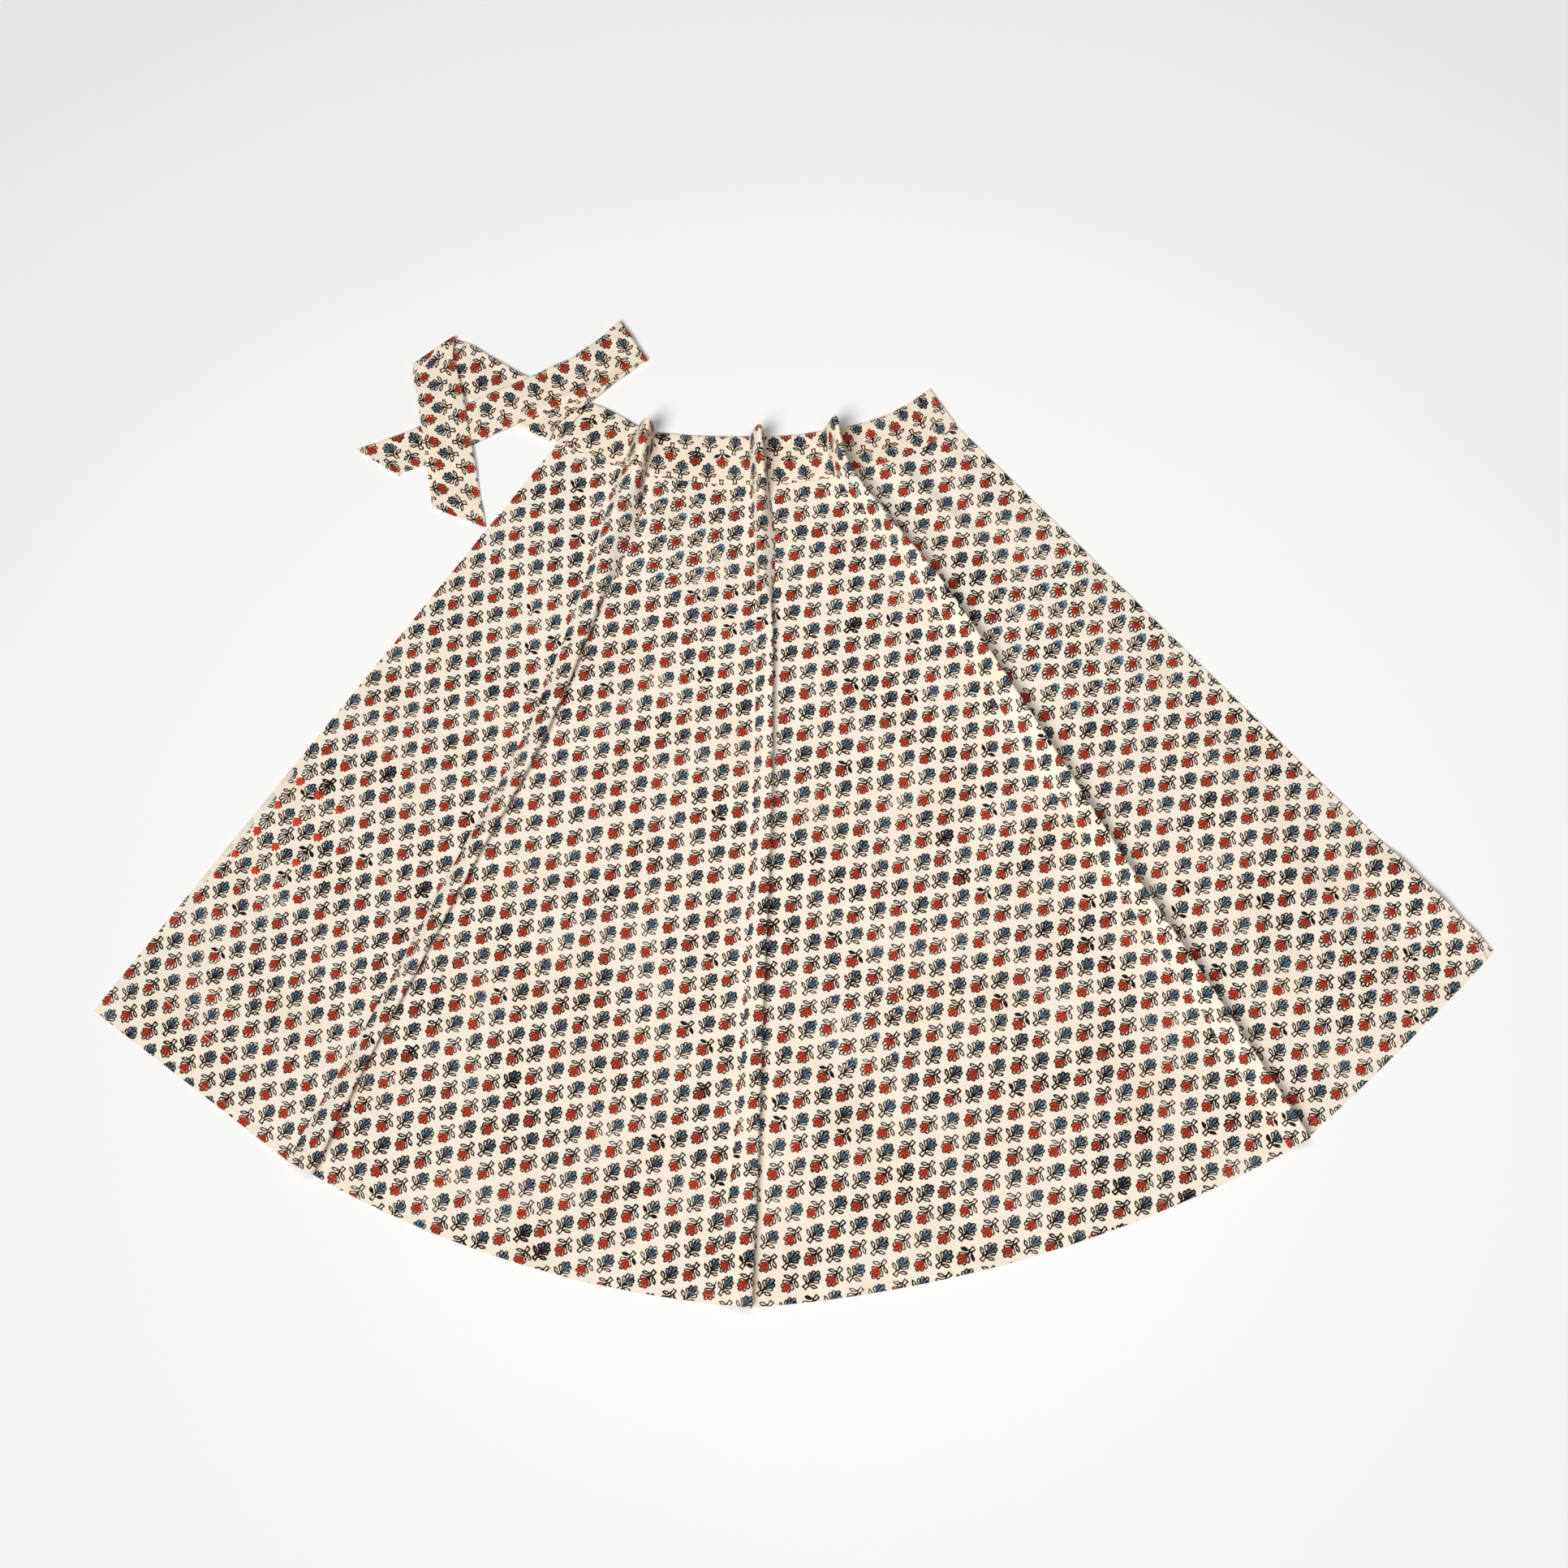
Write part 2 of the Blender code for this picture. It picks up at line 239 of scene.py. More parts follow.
BROAD_WAVE = Wave(1.2, 55.0, 3.0)
FINE_WAVE = Wave(0.5, 21.0, 5.0)
HEM_WAVE = Wave(2.2, 38.0, 8.0)
TIE_WAVE = Wave(1.5, 24.0, 11.0)
TIE_REST = 0.525  # how far the ties are raised where their wave is level
TIE_FADE = 25.0  # how far from the band a tie's waves reach their full height
EDGE_FADE = 30.0  # the same, in from the front layer's edges
SEAM_FADE = 0.03  # the same, down from the waist seam
EDGE_CREASES = 0.25  # the share of the creases' height that is left at the edges
BACK_FADE = (4.0, 60.0)  # where the back layer's creases begin and are whole
BACK_SEAM_FADE = 0.05
BACK_CREASES = 0.35  # the share of the creases' height that the back layer has


# ---- the form of the cloth
def interpolate(knots, values, place):
    """A smooth curve through (knots, values), read at place."""
    last = len(knots) - 1
    low = max(i for i in range(last) if i == 0 or knots[i] <= place)

    def slope(i):
        before, after = max(i - 1, 0), min(i + 1, last)
        if 0 < i < last and (values[after] - values[i]) * (values[i] - values[before]) <= 0:
            return 0.0
        return (values[after] - values[before]) / (knots[after] - knots[before])

    span = knots[low + 1] - knots[low]
    t = (place - knots[low]) / span
    start = (2 * t**3 - 3 * t**2 + 1) * values[low] + (t**3 - 2 * t**2 + t) * span * slope(low)
    end = (3 * t**2 - 2 * t**3) * values[low + 1] + (t**3 - t**2) * span * slope(low + 1)
    return start + end


def row_at(table, down):
    """The columns of a table, after its first one, at a share of the way down."""
    knots = [row.down for row in table]
    columns = list(zip(*table))[1:]
    return [interpolate(knots, column, down) for column in columns]


def straight_at(table, down):
    """A point of an edge, which is straight between the rows of its table."""
    low = max(i for i in range(len(table) - 1) if i == 0 or table[i].down <= down)
    first, second = table[low], table[low + 1]
    share = (down - first.down) / (second.down - first.down)
    return Vector((first.x, first.y, 0.0)).lerp(Vector((second.x, second.y, 0.0)), share)


def bow_at(gore, down):
    if down < 0:
        return gore.seam_bow + (gore.top_bow - gore.seam_bow) * down / BAND_TOP
    return gore.seam_bow + (gore.hem_bow - gore.seam_bow) * down


def smooth(value, low, high):
    """0 below low, 1 above high, and a soft step between."""
    t = min(max((value - low) / (high - low), 0.0), 1.0)
    return t * t * (3 - 2 * t)


def ridge_section(fold, down):
    """The points over one fold from its crease to its foot, and the level direction across it."""
    x, y, width, foot, height = row_at(fold, down)
    above = row_at(fold, max(down - SLOPE_STEP, BAND_TOP))
    below = row_at(fold, min(down + SLOPE_STEP, 1.0))
    across = Vector((above[1] - below[1], below[0] - above[0], 0.0)).normalized()
    lean = width + RIDGE_LEAN * (width - foot)
    points = []
    for i in range(RIDGE_STEPS + 1):
        t = i / RIDGE_STEPS
        near, far = 3 * (1 - t) ** 2 * t, 3 * (1 - t) * t**2
        out = near * RIDGE_START * width + far * lean + t**3 * foot
        rise = (near * RIDGE_RISES[0] + far * RIDGE_RISES[1]) * height
        points.append(Vector((x, y, 0.0)) + across * out + UP * rise)
    return points, across


def flat_section(start, end, gore, down):
    """The points between two folds, without the first and last ones."""
    chord = end - start
    sag = Vector((chord.y, -chord.x, 0.0)).normalized() * bow_at(gore, down)
    shares = [i / gore.columns for i in range(1, gore.columns)]
    return [start + chord * share + sag * 4 * share * (1 - share) for share in shares]


Spot = namedtuple("Spot", "point across zone arc")


def front_section(down):
    """One line across the front layer. A spot's zone is the gore, 0 to 3, or the fold, -1 to -3, that
    starts at it, and its arc is how far over the fold it lies."""
    last = straight_at(LEFT_EDGE, down)
    spots = []
    for k, (fold, gore) in enumerate(zip(FOLDS, GORES)):
        ridge, across = ridge_section(fold, down)
        flats = [last, *flat_section(last, ridge[0], gore, down)]
        spots += [Spot(point, None, k, 0.0) for point in flats]
        arc = 0.0
        for start, end in zip(ridge, ridge[1:]):
            spots.append(Spot(start, across, -1 - k, arc))
            arc += (end - start).length
        last = ridge[-1]
    side = straight_at(RIGHT_EDGE, down)
    flats = [last, *flat_section(last, side, GORES[-1], down), side]
    return spots + [Spot(point, None, len(FOLDS), 0.0) for point in flats]


def crease_height(creases, point):
    """The height that soft ridges and troughs add at a place in the plan."""
    total = 0.0
    for x1, y1, x2, y2, width, height in creases:
        start = Vector((x1, y1))
        along = Vector((x2, y2)) - start
        reach = point.xy - start
        share = reach.dot(along) / along.length_squared
        fade = smooth(share, *CREASE_FADE) * smooth(1 - share, *CREASE_FADE)
        if fade > 0:
            aside = abs(reach.cross(along)) / along.length
            total += height * fade * math.exp(-((aside / width) ** 2))
    return total


def wave_height(wave, point):
    """How far a soft wave raises or lowers a place in the plan."""
    return wave.height * noise.noise(Vector((point.x / wave.size, point.y / wave.size, wave.seed)))


def side_distance(table, point):
    """How far a point lies from one of the skirt's slanting sides."""
    start = Vector((table[1].x, table[1].y))
    along = Vector((table[2].x, table[2].y)) - start
    return abs((point.xy - start).cross(along)) / along.length


def edge_distances(point, down):
    side = min(side_distance(LEFT_EDGE, point), side_distance(RIGHT_EDGE, point))
    return side, (1.0 - down) * SKIRT_LENGTH


def front_lift(point, down):
    """How high the middle of the front layer's cloth lies over the floor, away from the ridges."""
    side, hem = edge_distances(point, down)
    inside = smooth(min(side, hem), 0.0, EDGE_FADE)
    lift = EDGE_LIFT + (FRONT_LIFT - EDGE_LIFT) * inside
    soft = crease_height(CREASES, point) + wave_height(BROAD_WAVE, point)
    soft += wave_height(FINE_WAVE, point)
    edge_wave = max(0.0, wave_height(HEM_WAVE, point)) * (1 - inside)
    seam = smooth(down, 0.0, SEAM_FADE)
    height = lift + edge_wave + soft * seam * (EDGE_CREASES + (1 - EDGE_CREASES) * inside)
    for x, y, reach, peak in CURLS:
        away = math.hypot(point.x - x, point.y - y)
        height += peak * math.exp(-((away / reach) ** 2))
    # the back layer's wall and half of the front's lie below the front's middle
    return max(height, back_lift(point, down) + 1.5 * PANEL_CLOTH + CLEARANCE)


def lifted(spots, lift):
    """The section's points at their heights. A ridge stands on the line between its two ends."""
    points = []
    heights = [lift(spot.point) for spot in spots]
    for i, spot in enumerate(spots):
        height = heights[i]
        if spot.zone < 0:
            if spot.arc == 0.0:
                first = i
            share = (i - first) / RIDGE_STEPS
            height = heights[first] * (1 - share) + heights[first + RIDGE_STEPS] * share
        points.append(spot.point + UP * height)
    return points


def wall_normals(points, spots):
    """The mitred normals of a section, each in its own upright plane."""
    normals = []
    for start, end, spot in zip(points, points[1:], spots):
        ahead = end - start
        level = spot.across or Vector((ahead.x, ahead.y, 0.0)).normalized()
        normals.append((UP * ahead.dot(level) - level * ahead.z).normalized())
    before, after = normals[:1] + normals, normals + normals[-1:]
    return [(a + b) / (1 + a.dot(b)) for a, b in zip(before, after)]


# ---- the place on the fabric
def turned(point, degrees):
    angle = math.radians(degrees)
    c, s = math.cos(angle), math.sin(angle)
    return Vector((point.x * c - point.y * s, point.x * s + point.y * c))


def gore_place(k, point):
    gore = GORES[k]
    return turned(point, -gore.turn) * gore.stretch + Vector((gore.shift_x, gore.shift_y))


def panel_places(spots):
    """For each spot of a section, its place on the fabric as the cloth on its left and on its right
    has it. They differ at a fold's foot, which the fold hides."""
    lefts, rights = [], []
    crease = None
    for i, spot in enumerate(spots):
        if spot.zone < 0:
            k = -1 - spot.zone
            if spot.arc == 0.0:
                crease = spot.point
            place = gore_place(k, crease + spot.across * (spot.arc + TUCK))
            lefts.append(gore_place(k, crease) if spot.arc == 0.0 else place)
            rights.append(place)
            continue
        place = gore_place(spot.zone, spot.point)
        rights.append(place)
        if i and spots[i - 1].zone < 0:
            before = spots[i - 1]
            arc = before.arc + (spot.point - before.point).length + TUCK
            place = gore_place(-1 - before.zone, crease + before.across * arc)
        lefts.append(place)
    return lefts, rights


MOTIF_LEAN = -41.3  # a blue flower leans this far from upright, in degrees, and a red one hangs


def strip_place(along, up):
    """The band and the ties are cut on the bias, so that their blue flowers stand upright."""
    return turned(Vector((along, up)), MOTIF_LEAN)


# ---- meshes
def wall_mesh(name, *grids):
    """A closed wall from grids given row by row: its lower and its upper points, the places on the print
    map as the cloth on the left and as the cloth on the right has them, and those on the edge map."""
    rows, columns = len(grids[0]), len(grids[0][0])
    lower, upper, lefts, rights, edges = ([value for row in grid for value in row] for grid in grids)
    count = rows * columns

    def at(row, column):
        return row * columns + column

    faces, places, rims = [], [], []
    for r in range(rows - 1):
        for c in range(columns - 1):
            quad = (at(r, c), at(r + 1, c), at(r + 1, c + 1), at(r, c + 1))
            print_uv = [rights[i] for i in quad[:2]] + [lefts[i] for i in quad[2:]]
            corners = tuple(zip(print_uv, (edges[i] for i in quad)))
            faces += [tuple(count + i for i in quad), quad[::-1]]
            places += [corners, corners[::-1]]
            rims += [0, 1]
    rim = [at(0, c) for c in range(columns)]
    rim += [at(r, columns - 1) for r in range(1, rows)]
    rim += [at(rows - 1, c) for c in range(columns - 2, -1, -1)]
    rim += [at(r, 0) for r in range(rows - 2, 0, -1)]
    for a, b in zip(rim, rim[1:] + rim[:1]):
        faces.append((b, a, count + a, count + b))
        places.append(tuple((lefts[i], edges[i]) for i in (b, a, a, b)))
        rims.append(2)
    mesh = bpy.data.meshes.new(name)
    mesh.from_pydata([point * MM for point in lower + upper], [], faces)
    mesh.polygons.foreach_set("material_index", rims)
    for layer, which in (("print", 0), ("edge", 1)):
        uv = mesh.uv_layers.new(name=layer)
        values = [v * MM for face in places for corner in face for v in corner[which]]
        uv.data.foreach_set("uv", values)
    mesh.validate()
    return mesh


def new_object(name, data):
    thing = bpy.data.objects.new(name, data)
    bpy.context.scene.collection.objects.link(thing)
    return thing


def add_piece(mesh, node, materials):
    """An object for a shell of cloth, riding on the one body in place of a CAD node."""
    piece = new_object(mesh.name, mesh)
    for material in materials:
        mesh.materials.append(material)
    mesh.shade_smooth()
    mesh.set_sharp_from_angle(angle=SHARP_ANGLE)
    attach(piece, "root")
    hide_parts(node)
    return piece


def front_grids(shares, wall, lift_of, columns=slice(None), profile=None):
    """The grids of a stretch of the front layer: lower and upper points, and the two UV maps."""
    grids = [], [], [], [], []
    for down in shares:
        spots = front_section(down)
        points = lifted(spots, lambda point: lift_of(point, down))
        normals = wall_normals(points, spots)
        lefts, rights = panel_places(spots)
        edges = [Vector(edge_distances(spot.point, down)) for spot in spots]
        half = wall / 2 * (profile(down) if profile else 1.0)
        lower = [point - normal * half for point, normal in zip(points, normals)]
        upper = [point + normal * half for point, normal in zip(points, normals)]
        for grid, row in zip(grids, (lower, upper, lefts, rights, edges)):
            grid.append(row[columns])
    return grids


def even_shares(count):
    return [i / count for i in range(count + 1)]


def front_panel(materials):
    crowded = [share**ROW_CROWDING for share in even_shares(PANEL_ROWS)]
    shares = [SEAM_SHARE + (1 - SEAM_SHARE) * share for share in crowded]
    grids = front_grids(shares, PANEL_CLOTH, front_lift)
    mesh = wall_mesh("front_panel_cloth", *grids)
    piece = add_piece(mesh, "front_panel", materials)


def rounded(reach):
    """The share of a strip's thickness at a share of the way in from its long edge."""
    return math.sqrt(max(1 - (1 - min(reach / RIM_SHARE, 1.0)) ** 2, RIM_THINNEST))


def band_profile(down):
    """The band's wall is rounded at its two long edges."""
    return rounded(min(down - BAND_TOP, -down) / -BAND_TOP)


def band_places(points):
    """The print on the band: along its middle line, and up from its lower edge."""
    middle = points[len(points) // 2]
    along = [0.0]
    for start, end in zip(middle, middle[1:]):
        along.append(along[-1] + (end - start).length)
    places = []
    for first_row in range(len(points)):
        below = range(first_row, len(points) - 1)
        row = []
        for column, reach in enumerate(along):
            up = sum((points[r + 1][column] - points[r][column]).length for r in below)
            row.append(strip_place(reach, up))
        places.append(row)
    return places


def band_shares():
    fine = sorted({*even_shares(BAND_ROWS), *BAND_RIM_ROWS})
    return [BAND_TOP * (1 - share) for share in fine]


def front_band(materials):
    """The two pieces of the front band, which meet at the crease of the right fold. The right one is
    cut the other way round."""
    join = sum(gore.columns for gore in GORES[:3]) + 2 * RIDGE_STEPS
    for name, columns, gap, way, area in (
        ("waistband_left", slice(0, join + 1), JOIN_GAP, 1, 0.0183),
        ("waistband_right", slice(join, None), 0.0, -1, 0.0087),
    ):
        grids = front_grids(
            band_shares(), BAND_CLOTH, lambda point, down: BAND_LIFT, columns, band_profile
        )
        for row in grids[0] + grids[1]:
            row[-1] += (row[-2] - row[-1]).normalized() * gap
        places = [[place * way for place in row] for row in band_places(grids[0])]
        mesh = wall_mesh(name + "_cloth", grids[0], grids[1], places, places, grids[4])
        piece = add_piece(mesh, name, materials)


def plan_section(down):
    """The line across the back layer: the front's without its ridges, drawn in at both ends."""
    spots = front_section(down)
    points = [spot.point.copy() for spot in spots if spot.zone >= 0 or spot.arc == 0.0]
    points[0] += (points[1] - points[0]).normalized() * BACK_INSET
    points[-1] += (points[-2] - points[-1]).normalized() * BACK_INSET
    return points


def back_grids(shares, wall, places_of, lift_of):
    lower, upper, places, edges = [], [], [], []
    for down in shares:
        points = plan_section(down)
        lower.append([point + UP * lift_of(point, down) for point in points])
        upper.append([point + UP * (lift_of(point, down) + wall) for point in points])
        places.append([places_of(point) for point in points])
        edges.append([Vector(edge_distances(point, down)) for point in points])
    return lower, upper, places, places, edges


def back_lift(point, down):
    side, hem = edge_distances(point, down)
    inside = smooth(min(side, hem), *BACK_FADE) * smooth(down, 0.0, BACK_SEAM_FADE)
    return max(0.0, BACK_CREASES * crease_height(CREASES, point)) * inside


def back_layer(panel_materials, band_materials):
    inset = BACK_INSET / SKIRT_LENGTH
    panel_length = 1 - inset - SEAM_SHARE
    shares = [SEAM_SHARE + panel_length * share for share in even_shares(BACK_PANEL_ROWS)]
    grids = back_grids(shares, PANEL_CLOTH, lambda point: turned(point, BACK_TURN), back_lift)
    mesh = wall_mesh("back_panel_cloth", *grids)
    piece = add_piece(mesh, "back_panel", panel_materials)
    top = BAND_TOP + inset
    shares = [top - top * share for share in even_shares(BACK_BAND_ROWS)]
    grids = back_grids(
        shares, BAND_CLOTH, lambda point: strip_place(point.x, point.y), lambda point, down: 0.0
    )
    mesh = wall_mesh("waistband_back_cloth", *grids)
    piece = add_piece(mesh, "waistband_back", band_materials)


# ---- ties
def spread(rows):
    """The rows of a strip's table with smooth steps between them."""
    knots = list(range(len(rows)))
    places = [i / TIE_STEPS for i in range((len(rows) - 1) * TIE_STEPS + 1)]
    return [[interpolate(knots, column, place) for column in zip(*rows)] for place in places]


def edges_of(row):
    x1, y1, x2, y2, height = row
    return Vector((x1, y1, height)), Vector((x2, y2, height))


def roll(before, start, end, facing):
    """A half turn of a strip about its fold line, without the first and last rows."""
    first, second = edges_of(start)
    radius = (end[-1] - start[-1]) / 2
    line = (second - first).normalized()
    travel = (first + second) / 2 - sum(edges_of(before), Vector()) / 2
    travel.z = 0.0
    outward = (travel - line * travel.dot(line)).normalized()
    rows = []
    for i in range(1, ROLL_STEPS):
        turn = math.pi * i / ROLL_STEPS
        arm = outward * math.sin(turn) - UP * math.cos(turn)
        shift = UP * radius + arm * radius
        rows.append((first + shift, second + shift, arm * facing))
    return rows


def tie_rows(stretches):
    """Each row's two edges, its wall's direction, and the number of its stretch."""
    rows, facing = [], 1
    for i, stretch in enumerate(stretches):
        if i:
            before = stretches[i - 1].rows
            turns = roll(before[-2], before[-1], stretch.rows[0], facing)
            rows += [(*row, i) for row in turns]
            facing = -facing
        rows += [(*edges_of(row), UP * -facing, i) for row in spread(stretch.rows)]
    return rows


def tie_lift(point):
    """How far the ties' cloth is raised at a place in the plan, the same for all of its layers."""
    wave = max(0.0, TIE_REST + wave_height(TIE_WAVE, point))
    return wave + crease_height(TIE_CREASES, point)


def tie_line(first, second, side, stretch, travel):
    """One line across a tie: the points of its two faces, and its two UV maps."""
    outer, inner, places, edges = [], [], [], []
    width = (second - first).length
    fade = smooth(travel, 0.0, TIE_FADE)
    for share in sorted({*even_shares(TIE_COLUMNS), *TIE_RIM_COLUMNS}):
        reach = min(share, 1 - share)
        half = TIE_CLOTH / 2 * rounded(reach)
        point = first.lerp(second, share)
        point += UP * tie_lift(point) * fade
        up = (1 - share if stretch.up_edge == 1 else share) * width
        outer.append(point + side * half)
        inner.append(point - side * half)
        places.append(strip_place(stretch.along * travel, up))
        edges.append(Vector((reach * width, travel)))
    return outer, inner, places, edges


def tie_mesh(name, stretches):
    """A strip's wall through its stretches, each rolled up onto the last one."""
    grids = [], [], [], []
    travel, before = 0.0, None
    for first, second, side, i in tie_rows(stretches):
        middle = (first + second) / 2
        travel += 0.0 if before is None else (middle - before).length
        before = middle
        for grid, row in zip(grids, tie_line(first, second, side, stretches[i], travel)):
            grid.append(row)
    outer, inner, places, edges = grids
    return wall_mesh(name, outer, inner, places, places, edges)


def ties(materials):
    over = add_piece(tie_mesh("tie_over_cloth", OVER_TIE), "tie_over", materials)
    under = add_piece(tie_mesh("tie_under_cloth", UNDER_TIE), "tie_under", materials)


# ---- node trees
class Graph:
    """Adds nodes to a tree. A value is a socket to link, a constant to set, or None to leave alone."""

    def __init__(self, tree):
        self.tree = tree

    def add(self, kind, *values, **settings):
        node = self.tree.nodes.new("ShaderNode" + kind)
        for name, value in settings.items():
            setattr(node, name, value)
        for socket, value in zip(node.inputs, values):
            self.feed(socket, value)
        return node

    def feed(self, socket, value):
        if isinstance(value, bpy.types.NodeSocket):
            self.tree.links.new(value, socket)
        elif value is not None:
            socket.default_value = value

    def math(self, operation, *values, clamp=False):
        return self.add("Math", *values, operation=operation, use_clamp=clamp).outputs[0]

    def vector(self, operation, *values):
        node = self.add("VectorMath", *values, operation=operation)
        scalar = operation in ("DOT_PRODUCT", "LENGTH", "DISTANCE")
        return node.outputs["Value" if scalar else "Vector"]

    def scale(self, vector, factor):
        return self.vector("SCALE", vector, None, None, factor)

    def combine(self, x, y):
        return self.add("CombineXYZ", x, y).outputs[0]

    def split(self, vector):
        return self.add("SeparateXYZ", vector).outputs

    def step(self, value, low, high):
        """0 below low, 1 above high, smooth between."""
        return self.add("MapRange", value, low, high, interpolation_type="SMOOTHSTEP").outputs[0]

    def noise(self, vector, scale, detail=2.0, roughness=0.5):
        return self.add("TexNoise", vector, None, scale, detail, roughness).outputs[0]

    def colour_noise(self, vector, scale, detail):
        return self.add("TexNoise", vector, None, scale, detail, 0.5).outputs[1]

    def moved(self, place, chance, most):
        """A place moved in the plane by a chance colour, whose middle is grey."""
        away = self.vector("SUBTRACT", chance, (0.5, 0.5, 0.5))
        return self.vector("MULTIPLY_ADD", away, (most, most, 0.0), place)

    def roughened(self, value, place, grain):
        """The value with noise around it."""
        ragged = self.math("SUBTRACT", self.noise(place, grain.scale), 0.5)
        return self.math("MULTIPLY_ADD", ragged, grain.amount, value)

    def mix(self, share, first, second):
        node = self.add("Mix", share, data_type="RGBA")
        self.feed(node.inputs[6], first)
        self.feed(node.inputs[7], second)
        return node.outputs[2]

    def group(self, tree, *values):
        return self.add("Group", *values, node_tree=tree).outputs

    def lowest(self, values):
        total = values[0]
        for value in values[1:]:
            total = self.math("MINIMUM", total, value)
        return total


def new_group(name, inputs, outputs):
    tree = bpy.data.node_groups.new(name, "ShaderNodeTree")
    for way, sockets in (("INPUT", inputs), ("OUTPUT", outputs)):
        for socket, kind in sockets:
            tree.interface.new_socket(socket, in_out=way, socket_type="NodeSocket" + kind)
    return tree, tree.nodes.new("NodeGroupInput").outputs, tree.nodes.new("NodeGroupOutput").inputs


# ---- the block print, in millimetres
ROW_STEP = Vector((20.7, 3.4, 0.0))  # from one motif to the next along a row
COLUMN_STEP = Vector((1.2, 21.5, 0.0))  # from one row to the next
MOTIF_TURN = math.radians(MOTIF_LEAN)

# Half of one motif, from its axis to the right, flower on top: x and y of each stroke's two ends, and
# its width.
STROKES = (
    (0.0, -10.2, 1.8, -10.2, 1.15),
    (1.8, -10.2, 1.4, -6.4, 1.1),
    (1.4, -6.4, 2.7, -4.5, 1.2),
    (1.1, -6.0, 0.0, -1.8, 1.2),
    (0.0, -2.4, 1.7, 5.6, 0.62),
    (0.0, -2.4, 4.0, 3.4, 0.62),
)
PETALS = ((0.0, 8.6), (3.4, 6.1), (4.6, 2.3))  # the middles of their round ends
PETAL_WIDTH, PETAL_FOOT = 3.1, 1.0
CALYX = Vector((0.0, -2.1, 0.0))
FLOWER_MIDDLE = Vector((0.0, 4.0, 0.0))
FILL_SIZE = 0.77  # the coloured block's flower, as a share of the outline block's
BLEED = 0.085  # how far the black has spread past its drawn lines
LEAF_START, LEAF_END, LEAF_WIDTH = Vector((2.4, -4.6, 0.0)), Vector((8.3, -1.9, 0.0)), 2.5
OUTLINE = 0.54  # half of the width of the lines round petals and leaves

# The unevenness of hand printing. A grain is noise: its waves to a millimetre, and its strength.
Grain = namedtuple("Grain", "scale amount")
LINE_GRAIN = Grain(0.42, 1.1)
LINE_PATCHES = Grain(0.016, 0.8)
FILL_GRAIN = Grain(0.55, 1.8)
COLOUR_DRIFT = Grain(0.03, 5.0)
MOTIF_DRIFT = Grain(0.28, 1.5)
MOTIF_SLIP = 1.0
MOTIF_SWING = 0.2
BLOCK_SLIP = 2.0
BLOCK_MOTIFS = (6, 4)  # along and across a row on one printing block
LINE_SOFTNESS = 0.14
FILL_EDGE = (0.75, 0.1)
HEAVY_MOTIFS = (0.985, 1.0)  # the chances of motifs with thicker lines
HEAVY_BLEED = 0.3
SOLID_LEAVES = (0.95, 0.96)  # above these chances a motif's leaves are filled with black
RED_OVER_BLACK = 0.3

INK_BLACK = (0.012, 0.006, 0.004, 1.0)
INK_RED = (0.59, 0.056, 0.022, 1.0)
INK_RED_DEEP = (0.25, 0.022, 0.013, 1.0)
INK_BLUE = (0.075, 0.135, 0.195, 1.0)
INK_BLUE_PALE = (0.205, 0.320, 0.395, 1.0)
CREAM = (0.905, 0.812, 0.680, 1.0)
CREAM_WARM = (0.872, 0.757, 0.608, 1.0)
HALO = (0.62, 0.41, 0.25, 1.0)  # brown that has run out of the black lines
HALO_REACH, HALO_SHARE = 1.0, 0.22
# painted shade: the colour of the dark line along a crease by the right corner
CREASE_SHADE = (0.38, 0.25, 0.16, 1.0)
BLUE_SHADES, RED_SHADES, CREAM_SHADES = (0.42, 0.68), (0.55, 0.75), (0.45, 0.75)
INK_CLOUDS, CREAM_CLOUDS = (0.3, 3.0, 0.6), (0.012, 3.0)  # a noise's scale, detail and roughness

# How far a colour's block is usually set down from the outlines, and where it was set down wider: the
# gore, x and y of the middle, how far from there the slip is whole and how far it reaches, and x and y
# of the blue block's slip and of the red one's.
USUAL_SLIP = {"blue": Vector((0.3, 0.1, 0.0)), "red": Vector((-0.5, -0.4, 0.0))}
MISPRINTS = (
    (1, -122, 258, 44, 72, 4.4, 4.6, 2.2, 2.2),
    (2, 62, -241, 36, 58, 4.2, 4.4, 1.6, 1.6),
    (3, 290, 165, 70, 115, 4.2, 4.4, 2.0, 2.0),
    (3, 560, -170, 40, 80, 2.6, 2.6, 1.8, 1.8),
    (0, -520, -35, 40, 105, 1.4, 1.2, -7.4, -6.6),
    (0, -575, -190, 60, 110, -1.2, -0.6, -0.8, 1.4),
)

# Lines where the cloth was once pressed: the gore, x and y of the two ends, the width, and 1 for a
# dark one, which is painted shade in a crease by the right corner. The ink is gone from the pale ones.
PRESSES = (
    (0, -627, -204, -533, -285, 0.7, 0),
    (0, -508, 14, -592, -102, 13.0, 0),
    (3, 640, -138, 561, -214, 0.7, 0),
    (3, 664, -146, 675, -177, 0.7, 1),
)
PRESS_EDGE = (0.25, -0.2)
PRESS_WEAR = 0.85  # the share of the ink that is gone


def tapered_distance(g, point, start, end, start_width, end_width):
    """How far a point is from a straight round-ended bar, below 0 inside it."""
    along = end - start
    reach = g.vector("SUBTRACT", point, start)
    dot = g.vector("DOT_PRODUCT", reach, along / along.length_squared)
    share = g.math("MULTIPLY", dot, 1.0, clamp=True)
    gap = g.vector("DISTANCE", reach, g.scale(along, share))
    if start_width != end_width:
        gap = g.math("MULTIPLY_ADD", share, (start_width - end_width) / 2, gap)
    return g.math("SUBTRACT", gap, start_width / 2)


def stroke_distance(g, point, stroke):
    x1, y1, x2, y2, width = stroke
    return tapered_distance(g, point, Vector((x1, y1, 0.0)), Vector((x2, y2, 0.0)), width, width)


